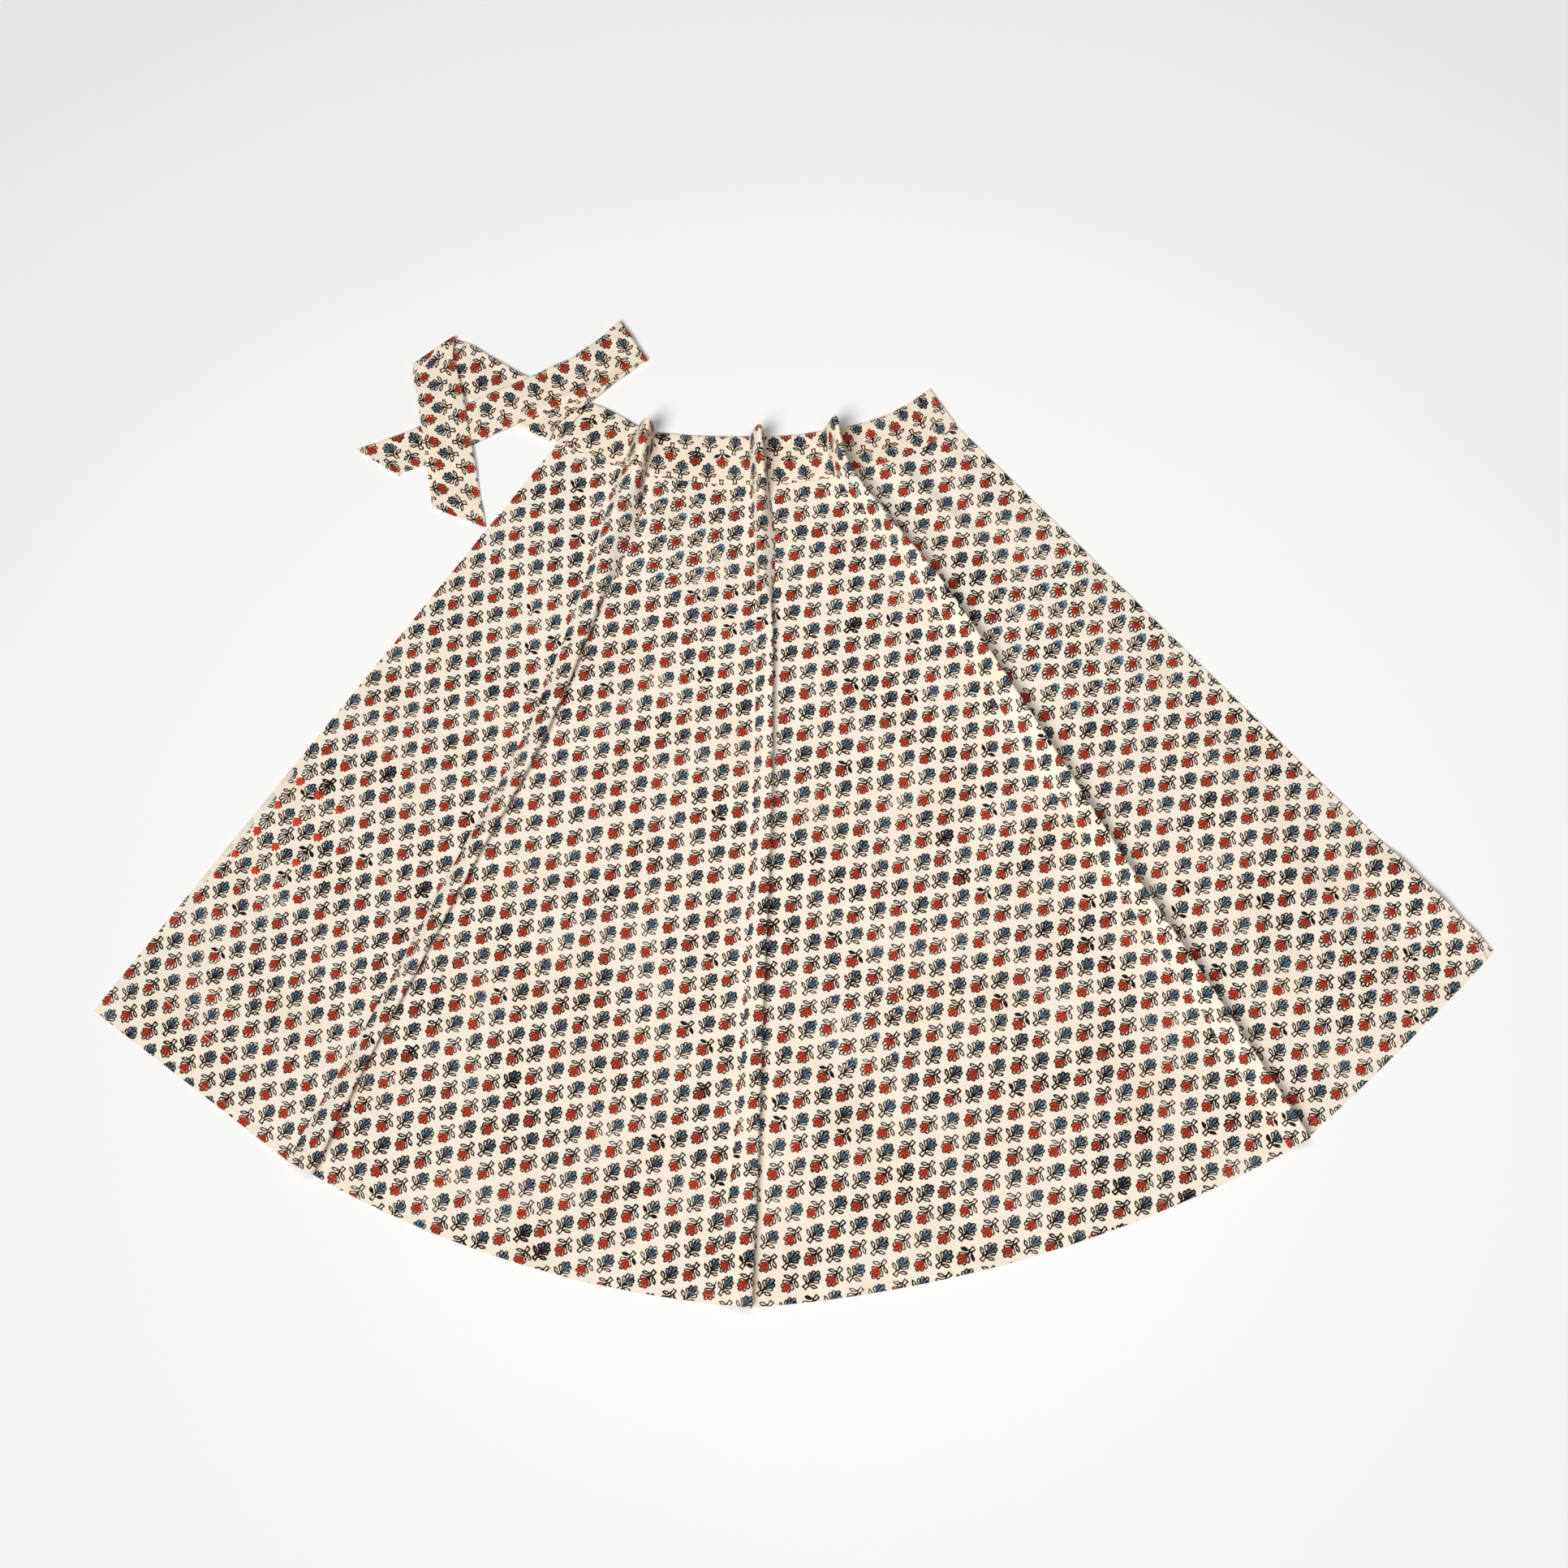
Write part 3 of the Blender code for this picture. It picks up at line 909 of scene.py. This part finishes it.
def leaf_distance(g, point):
    """The distance from a leaf's pointed outline, below 0 inside it: it lies in two circles."""
    along = LEAF_END - LEAF_START
    middle = (LEAF_START + LEAF_END) / 2
    aside = Vector((-along.y, along.x, 0.0)).normalized()
    radius = (along.length_squared / 4 + (LEAF_WIDTH / 2) ** 2) / LEAF_WIDTH
    sides = []
    for sign in (-1, 1):
        centre = middle + aside * sign * (radius - LEAF_WIDTH / 2)
        sides.append(g.math("SUBTRACT", g.vector("DISTANCE", point, centre), radius))
    return g.math("MAXIMUM", *sides)


def mirrored(g, point):
    x, y, _ = g.split(point)
    return g.combine(g.math("ABSOLUTE", x), y)


def flower_group():
    """The distance from the flower's shape in one motif."""
    tree, given, made = new_group("flower", [("Place", "Vector")], [("Flower", "Float")])
    g = Graph(tree)
    point = mirrored(g, given[0])
    petals = [
        tapered_distance(g, point, CALYX, Vector((*petal, 0.0)), PETAL_FOOT, PETAL_WIDTH)
        for petal in PETALS
    ]
    g.feed(made[0], g.lowest(petals))
    return tree


def motif_group(flower):
    """Distances in one motif: from its drawn lines, and from its leaves, below 0 inside them."""
    tree, given, made = new_group(
        "motif", [("Place", "Vector")], [("Lines", "Float"), ("Leaf", "Float")]
    )
    g = Graph(tree)
    petals = g.group(flower, given[0])[0]
    point = mirrored(g, given[0])
    leaf = leaf_distance(g, point)
    lines = [stroke_distance(g, point, stroke) for stroke in STROKES]
    for outline in (petals, leaf):
        lines.append(g.math("SUBTRACT", g.math("ABSOLUTE", outline), OUTLINE))
    g.feed(made[0], g.lowest(lines))
    g.feed(made[1], leaf)
    return tree


def repeat_group():
    """A place seen from its own motif, set upright, whether that is a red one, and its chances."""
    tree, given, made = new_group(
        "repeat", [("Fabric", "Vector")], [("Place", "Vector"), ("Odd", "Float"), ("Chances", "Vector")]
    )
    g = Graph(tree)
    area = ROW_STEP.x * COLUMN_STEP.y - ROW_STEP.y * COLUMN_STEP.x
    across = g.vector("DOT_PRODUCT", given[0], Vector((COLUMN_STEP.y, -COLUMN_STEP.x, 0.0)) / area)
    up = g.vector("DOT_PRODUCT", given[0], Vector((-ROW_STEP.y, ROW_STEP.x, 0.0)) / area)
    column, row = g.math("FLOOR", across), g.math("FLOOR", up)
    cell = g.combine(column, row)
    share_x, share_y = (
        g.math("SUBTRACT", g.math("SUBTRACT", place, whole), 0.5)
        for place, whole in ((across, column), (up, row))
    )
    local = g.vector("ADD", g.scale(ROW_STEP, share_x), g.scale(COLUMN_STEP, share_y))

    chances = g.add("TexWhiteNoise", cell, noise_dimensions="3D").outputs[1]
    blocks = (1 / BLOCK_MOTIFS[0], 1 / BLOCK_MOTIFS[1], 0.0)
    block = g.vector("FLOOR", g.vector("MULTIPLY", cell, blocks))
    slips = (
        (g.colour_noise(given[0], MOTIF_DRIFT.scale, 2.0), MOTIF_DRIFT.amount),
        (chances, MOTIF_SLIP),
        (g.add("TexWhiteNoise", block).outputs[1], BLOCK_SLIP),
    )
    for slip, most in slips:
        local = g.moved(local, slip, most)
    odd = g.math("FLOORED_MODULO", g.math("ADD", column, row), 2.0)
    angle = g.math("MULTIPLY_ADD", odd, math.pi, -MOTIF_TURN)
    swing = g.math("SUBTRACT", g.split(chances)[0], 0.5)
    angle = g.math("MULTIPLY_ADD", swing, MOTIF_SWING, angle)
    upright = g.add("VectorRotate", local, None, None, angle, rotation_type="Z_AXIS").outputs[0]
    for socket, value in zip(made, (upright, odd, chances)):
        g.feed(socket, value)
    return tree


def colour_slip(g, fabric, colour):
    """How far this colour's block was set down from the outlines."""
    usual = USUAL_SLIP[colour]
    drift = g.colour_noise(fabric, COLOUR_DRIFT.scale, 1.0)
    total = g.moved(usual, drift, COLOUR_DRIFT.amount)
    for gore, x, y, whole, reach, *slips in MISPRINTS:
        middle = gore_place(gore, Vector((x, y))).to_3d()
        share = g.step(g.vector("DISTANCE", fabric, middle), reach, whole)
        wide = slips[:2] if colour == "blue" else slips[2:]
        total = g.vector("ADD", total, g.scale(Vector((*wide, 0.0)) - usual, share))
    return total


def colour_fill(g, fabric, repeat, flower, colour):
    """How much of this colour lies at a place."""
    place, odd, _ = g.group(repeat, g.vector("SUBTRACT", fabric, colour_slip(g, fabric, colour)))
    place = g.vector("SUBTRACT", place, FLOWER_MIDDLE)
    place = g.vector("ADD", g.scale(place, 1 / FILL_SIZE), FLOWER_MIDDLE)
    edge = g.roughened(g.group(flower, place)[0], fabric, FILL_GRAIN)
    share = odd if colour == "red" else g.math("SUBTRACT", 1.0, odd)
    return g.math("MULTIPLY", g.step(edge, *FILL_EDGE), share)


def crease_wear_and_shade(g, fabric, dark):
    """How worn the cloth is along the lines where it was pressed, or, for dark, where shade is painted in
    a crease.
    """
    lines = []
    for gore, x1, y1, x2, y2, width, shaded in PRESSES:
        if shaded == dark:
            start, end = gore_place(gore, Vector((x1, y1))), gore_place(gore, Vector((x2, y2)))
            lines.append(stroke_distance(g, fabric, (*start, *end, width)))
    return g.step(g.lowest(lines), *PRESS_EDGE)


def line_distance(g, fabric, repeat, flower):
    """How far a place on the fabric is from the black of its motif, below 0 inside it."""
    place, _, chances = g.group(repeat, fabric)
    lines, leaf = g.group(motif_group(flower), place)
    chances = g.split(chances)
    for grain in (LINE_GRAIN, LINE_PATCHES):
        lines = g.roughened(lines, fabric, grain)
    heavy = g.step(chances[0], *HEAVY_MOTIFS)
    lines = g.math("MULTIPLY_ADD", heavy, -HEAVY_BLEED, lines)
    solid = g.step(chances[1], *SOLID_LEAVES)
    open_leaf = g.math("MULTIPLY_ADD", solid, -2.0, 2.0)
    return g.math("MINIMUM", lines, g.math("ADD", leaf, open_leaf))


def print_and_crease_shade_group():
    """The printed colour of the fabric at a place on it in millimetres, with painted shade along one
    crease, and how inked it is.
    """
    tree, given, made = new_group(
        "print_and_crease_shade",
        [("Fabric", "Vector"), ("Strength", "Float")],
        [("Color", "Color"), ("Ink", "Float")],
    )
    g = Graph(tree)
    repeat, flower = repeat_group(), flower_group()
    fabric = given[0]
    lines = line_distance(g, fabric, repeat, flower)
    black = g.step(lines, BLEED + LINE_SOFTNESS, BLEED - LINE_SOFTNESS)
    shade = g.noise(fabric, *INK_CLOUDS)
    blue = g.mix(g.step(shade, *BLUE_SHADES), INK_BLUE, INK_BLUE_PALE)
    red = g.mix(g.step(shade, *RED_SHADES), INK_RED, INK_RED_DEEP)
    blue_share = colour_fill(g, fabric, repeat, flower, "blue")
    red_share = colour_fill(g, fabric, repeat, flower, "red")
    black = g.math("MULTIPLY", black, g.math("MULTIPLY_ADD", red_share, -RED_OVER_BLACK, 1.0))

    strength = g.math("MULTIPLY_ADD", crease_wear_and_shade(g, fabric, 0), -PRESS_WEAR, given[1])
    printed = g.mix(g.step(g.noise(fabric, *CREAM_CLOUDS), *CREAM_SHADES), CREAM, CREAM_WARM)
    halo = g.math("MULTIPLY", g.step(lines, BLEED + HALO_REACH, BLEED), HALO_SHARE)
    for share, ink in ((halo, HALO), (blue_share, blue), (red_share, red), (black, INK_BLACK)):
        printed = g.mix(g.math("MULTIPLY", share, strength, clamp=True), printed, ink)
    # painted shade along the crease by the right corner, laid over the print
    g.feed(made[0], g.mix(crease_wear_and_shade(g, fabric, 1), printed, CREASE_SHADE))
    g.feed(made[1], g.math("MAXIMUM", g.math("MAXIMUM", blue_share, red_share), black))
    return tree


WEAVE_PITCH = 0.9  # two threads
WEAVE_HEIGHT = 0.35  # the threads' height as a share of the slubs'
SLUB_LONG, SLUB_SHORT = 0.12, 1.6  # slubs to the millimetre, along and across a thread


def weave_group():
    """A plain weave's height, with slubs, at a place on the fabric in millimetres."""
    tree, given, made = new_group("plain_weave", [("Fabric", "Vector")], [("Height", "Float")])
    g = Graph(tree)
    x, y, _ = g.split(g.scale(given[0], 2 * math.pi / WEAVE_PITCH))
    threads = g.math("MULTIPLY", g.math("SINE", x), g.math("SINE", y))
    slubs = [
        g.noise(g.vector("MULTIPLY", given[0], (*counts, 1.0)), 1.0)
        for counts in ((SLUB_LONG, SLUB_SHORT), (SLUB_SHORT, SLUB_LONG))
    ]
    g.feed(made[0], g.math("MULTIPLY_ADD", threads, WEAVE_HEIGHT, g.math("ADD", *slubs)))
    return tree


THREAD = (0.80, 0.72, 0.60, 1.0)
THREAD_SHARE = 0.45
STITCH_PITCH, STITCH_WIDTH, STITCH_HEIGHT = 3.0, 0.45, 1.5
STITCH_REACH = 0.36  # half of a stitch's length, as a share of the pitch
STITCH_EDGE = (0.08, -0.06)

# Rows of stitches: the edge map's axis across them, and how far along it they lie.
HEM_SEAMS = ((1, 7.0), (0, 7.0))
BAND_SEAMS = ((1, SKIRT_LENGTH + 1.6), (1, SKIRT_LENGTH * (1 - BAND_TOP) - 1.8), (0, 2.0))
TIE_SEAMS = ((0, 1.6),)

INK_ON_REVERSE = 0.35
ONE_LAYER = (1.0, 1.0, 1.0)
TWO_LAYERS = (0.985, 0.955, 0.920)  # less of the pale floor shines through doubled cloth
COTTON = {"Sheen Weight": 0.04, "Sheen Roughness": 0.5, "Specular IOR Level": 0.12}
COTTON_ROUGHNESS, INK_SMOOTHING = 0.93, 0.08
WEAVE_SHADE = 0.10  # how much darker the low places between the threads are
BUMP = {"Strength": 0.5, "Distance": 0.00012}
RIM_PALE, RIM_DYED = (0.72, 0.50, 0.42, 1.0), (0.50, 0.22, 0.18, 1.0)
RIM_CLOUDS, RIM_SHADES, RIM_ROUGHNESS = (0.08, 3.0), (0.35, 0.7), 0.95


def stitches(g, edge, seams):
    """Rows of small stitches, each at a distance from the cloth's edges."""
    places = g.split(edge)
    rows = []
    for axis, distance in seams:
        aside = g.math("ABSOLUTE", g.math("SUBTRACT", places[axis], distance))
        phase = g.math("FRACT", g.math("DIVIDE", places[1 - axis], STITCH_PITCH))
        off_middle = g.math("ABSOLUTE", g.math("SUBTRACT", phase, 0.5))
        gap = g.math("SUBTRACT", off_middle, STITCH_REACH)
        rows.append(g.math("MAXIMUM", g.math("SUBTRACT", aside, STITCH_WIDTH / 2), gap))
    return g.step(g.lowest(rows), *STITCH_EDGE)


def new_material(name):
    """A material, its graph, and its shader's sockets."""
    material = bpy.data.materials.new(name)
    material.use_nodes = True
    return material, Graph(material.node_tree), material.node_tree.nodes["Principled BSDF"].inputs


def map_place(g, uv_map):
    """A place on one of the two UV maps, in millimetres."""
    return g.scale(g.add("UVMap", uv_map=uv_map).outputs[0], 1 / MM)


def cloth(name, print_and_crease_shade, weave, strength, seams, tint):
    """Printed cotton. Strength is how much of the ink shows on this face."""
    material, g, sockets = new_material(name)
    fabric = map_place(g, "print")
    colour, inked = g.group(print_and_crease_shade, fabric, strength)
    threads = g.group(weave, fabric)[0]
    stitch = stitches(g, map_place(g, "edge"), seams)
    colour = g.mix(g.math("MULTIPLY", stitch, THREAD_SHARE), colour, THREAD)
    tone = g.math("MULTIPLY_ADD", threads, WEAVE_SHADE, 1 - WEAVE_SHADE)
    g.feed(sockets["Base Color"], g.vector("MULTIPLY", g.scale(colour, tone), tint))
    g.feed(sockets["Roughness"], g.math("MULTIPLY_ADD", inked, -INK_SMOOTHING, COTTON_ROUGHNESS))
    bump = g.add("Bump")
    for inputs, values in ((sockets, COTTON), (bump.inputs, BUMP)):
        for socket, value in values.items():
            g.feed(inputs[socket], value)
    g.feed(bump.inputs["Height"], g.math("MULTIPLY_ADD", stitch, STITCH_HEIGHT, threads))
    g.feed(sockets["Normal"], bump.outputs[0])
    return material


def cut_edge(name):
    """The raw or folded rim of the cloth, tinted where the dye has run along it."""
    material, g, sockets = new_material(name)
    dyed = g.step(g.noise(map_place(g, "print"), *RIM_CLOUDS), *RIM_SHADES)
    g.feed(sockets["Base Color"], g.mix(dyed, RIM_PALE, RIM_DYED))
    g.feed(sockets["Roughness"], RIM_ROUGHNESS)
    return material


# ---- floor, light and camera
FLOOR_REACH, FLOOR_HEIGHT = 25.0, -0.0002
FLOOR_TONE, FLOOR_MOTTLE, FLOOR_CLOUDS = 0.935, 0.02, (1.2, 3.0)
FLOOR_TINT = (1.0, 0.995, 0.985)
FLOOR_ROUGHNESS = 0.8


def floor():
    mesh = bpy.data.meshes.new("floor")
    sides = ((-1, -1), (1, -1), (1, 1), (-1, 1))
    corners = [(x * FLOOR_REACH, y * FLOOR_REACH, FLOOR_HEIGHT) for x, y in sides]
    mesh.from_pydata(corners, [], [(0, 1, 2, 3)])
    material, g, sockets = new_material("floor_paint")
    place = g.add("TexCoord").outputs["Object"]
    tone = g.math("MULTIPLY_ADD", g.noise(place, *FLOOR_CLOUDS), FLOOR_MOTTLE, FLOOR_TONE)
    g.feed(sockets["Base Color"], g.scale(FLOOR_TINT, tone))
    g.feed(sockets["Roughness"], FLOOR_ROUGHNESS)
    mesh.materials.append(material)
    piece = new_object("floor", mesh)


KEY_SIDE = Vector((-0.59, -0.81))
KEY_ELEVATION = math.radians(50.0)
KEY_SPREAD = math.radians(28.0)
KEY_STRENGTH = 2.6
KEY_DISTANCE = 3.0
OVERHEAD_SIZE, OVERHEAD_POWER = 1.3, 11.0
OVERHEAD_PLACE, OVERHEAD_AIM = Vector((0.02, -0.06, 1.64)), Vector((0.0, -0.78, 0.0))
SKY_STRENGTH = 0.08


def add_lamp(light, place, aim):
    lamp = new_object(light.name, light)
    lamp.location = place
    lamp.visible_camera = False
    lamp.rotation_euler = (aim - place).to_track_quat("-Z", "Y").to_euler()


def key_light():
    """A wide, far lamp from the lower left, so that the folds cast soft shadows to their right."""
    light = bpy.data.lights.new("key", "SUN")
    light.energy = KEY_STRENGTH
    light.angle = KEY_SPREAD
    level = math.cos(KEY_ELEVATION)
    away = Vector((KEY_SIDE.x * level, KEY_SIDE.y * level, math.sin(KEY_ELEVATION)))
    add_lamp(light, away * KEY_DISTANCE, Vector())


def overhead_light():
    """A soft lamp over the skirt, so that the floor is brightest around it."""
    light = bpy.data.lights.new("overhead", "AREA")
    light.shape = "DISK"
    light.size = OVERHEAD_SIZE
    light.energy = OVERHEAD_POWER
    add_lamp(light, OVERHEAD_PLACE, OVERHEAD_AIM)


def lights():
    bpy.context.scene.view_settings.view_transform = "Standard"
    world = bpy.data.worlds.new("studio")
    world.use_nodes = True
    sky = world.node_tree.nodes["Background"]
    sky.inputs["Color"].default_value = (1.0, 1.0, 1.0, 1.0)
    sky.inputs["Strength"].default_value = SKY_STRENGTH
    bpy.context.scene.world = world
    key_light()
    overhead_light()


CAMERA_TILT = math.radians(15.0)
CAMERA_DISTANCE = 2.203
CAMERA_AIM = Vector((-0.0122, 0.0021, 0.0))
CAMERA_LENS, CAMERA_SENSOR = 50.68, 36.0  # in millimetres


def camera():
    data = bpy.data.cameras.new("camera")
    data.lens = CAMERA_LENS
    data.sensor_width = CAMERA_SENSOR
    eye = new_object("camera", data)
    back = Vector((0.0, -math.sin(CAMERA_TILT), math.cos(CAMERA_TILT)))
    eye.location = CAMERA_AIM + back * CAMERA_DISTANCE
    eye.rotation_euler = (CAMERA_TILT, 0.0, 0.0)
    bpy.context.scene.camera = eye


def main():
    print_and_crease_shade, weave = print_and_crease_shade_group(), weave_group()
    face = cloth("printed_cotton", print_and_crease_shade, weave, 1.0, HEM_SEAMS, ONE_LAYER)
    reverse = cloth(
        "printed_cotton_reverse", print_and_crease_shade, weave, INK_ON_REVERSE, HEM_SEAMS, ONE_LAYER
    )
    band = cloth("printed_cotton_band", print_and_crease_shade, weave, 1.0, BAND_SEAMS, TWO_LAYERS)
    tie = cloth("printed_cotton_tie", print_and_crease_shade, weave, 1.0, TIE_SEAMS, TWO_LAYERS)
    rim = cut_edge("cotton_rim")
    front_panel((face, reverse, rim))
    front_band((band, band, band))
    back_layer((reverse, face, rim), (band, band, band))
    ties((tie, tie, tie))
    floor()
    lights()
    camera()


main()
